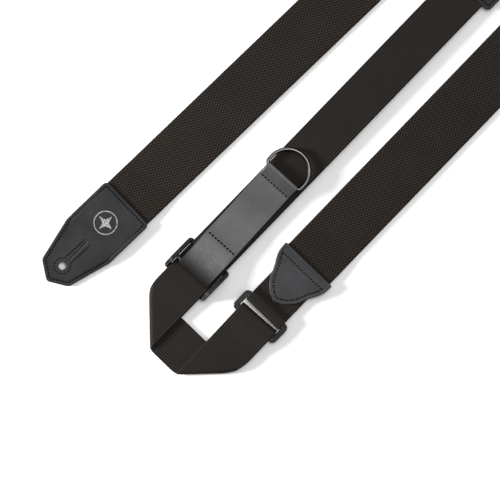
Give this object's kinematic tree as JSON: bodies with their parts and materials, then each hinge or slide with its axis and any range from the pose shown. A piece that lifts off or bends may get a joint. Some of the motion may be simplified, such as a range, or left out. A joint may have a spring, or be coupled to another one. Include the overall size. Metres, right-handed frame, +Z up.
{
  "type": "guitar strap",
  "caption": "Wide cotton guitar strap with leather ends, a ribbed webbing adjuster slide, a leather pull tab with a D-ring, and a rectangular ring, folded flat.",
  "frame": {"origin": "under the middle of the folded strap, on the surface that it lies on", "axes": "+X along the straight runs, away from the neck end's point; +Y across them, from the joiner's run to the neck end's run; +Z up, towards the strap's face"},
  "size_m": [0.5314, 0.2068, 0.013],
  "materials": {
    "cotton_webbing": "heavy basket-woven cotton, matt",
    "ribbed_webbing": "ribbed polypropylene webbing, low sheen",
    "end_leather": "smooth black garment leather, satin",
    "tab_leather": "smooth black strap leather, satin with a soft highlight",
    "thread": "bonded black thread",
    "moulded_plastic": "moulded acetal, semi-gloss",
    "black_wire": "black-plated steel wire, glossy",
    "silver_foil": "hot-stamped silver foil"
  },
  "bodies": {
    "strap": {"neck_leather_back": "end_leather", "neck_leather_face": "end_leather", "neck_stitching": "thread", "tail_leather_back": "end_leather", "tail_leather_face": "end_leather", "tail_stitching": "thread", "foil_emblem": "silver_foil", "joiner_leather_back": "end_leather", "joiner_leather_face": "end_leather", "joiner_stitching": "thread", "shoulder_webbing": "cotton_webbing", "anchor_webbing": "ribbed_webbing", "adjusting_webbing": "ribbed_webbing", "webbing_end": "ribbed_webbing", "webbing_end_stitching": "thread"},
    "shoulder_ring": {"shoulder_ring": "moulded_plastic"},
    "slide": {"adjuster_slide": "moulded_plastic"},
    "tab": {"pull_tab": "tab_leather", "tab_slide_stitching": "thread", "tab_ring_stitching": "thread"},
    "d_ring": {"d_ring": "black_wire"}
  },
  "joints": [
    {"name": "ring_rock", "type": "hinge", "parent": "strap", "child": "shoulder_ring", "pos_m": [-0.15873, -0.07701, 0.0039], "axis": [0, 1, 0], "range_deg": [-4, 4]},
    {"name": "slide_travel", "type": "slide", "parent": "strap", "child": "slide", "axis": [1, 0, 0], "range_m": [0, 0.17], "deforming": ["webbing_end"]},
    {"name": "tab_lift", "type": "hinge", "parent": "slide", "child": "tab", "pos_m": [-0.17053, -0.0098, 0.00975], "axis": [0.0288, -0.9996, 0], "range_deg": [0, 120]},
    {"name": "d_ring_swing", "type": "hinge", "parent": "tab", "child": "d_ring", "pos_m": [-0.05858, -0.00658, 0.00945], "axis": [0.0288, -0.9996, 0], "range_deg": [0, 150]}
  ]
}
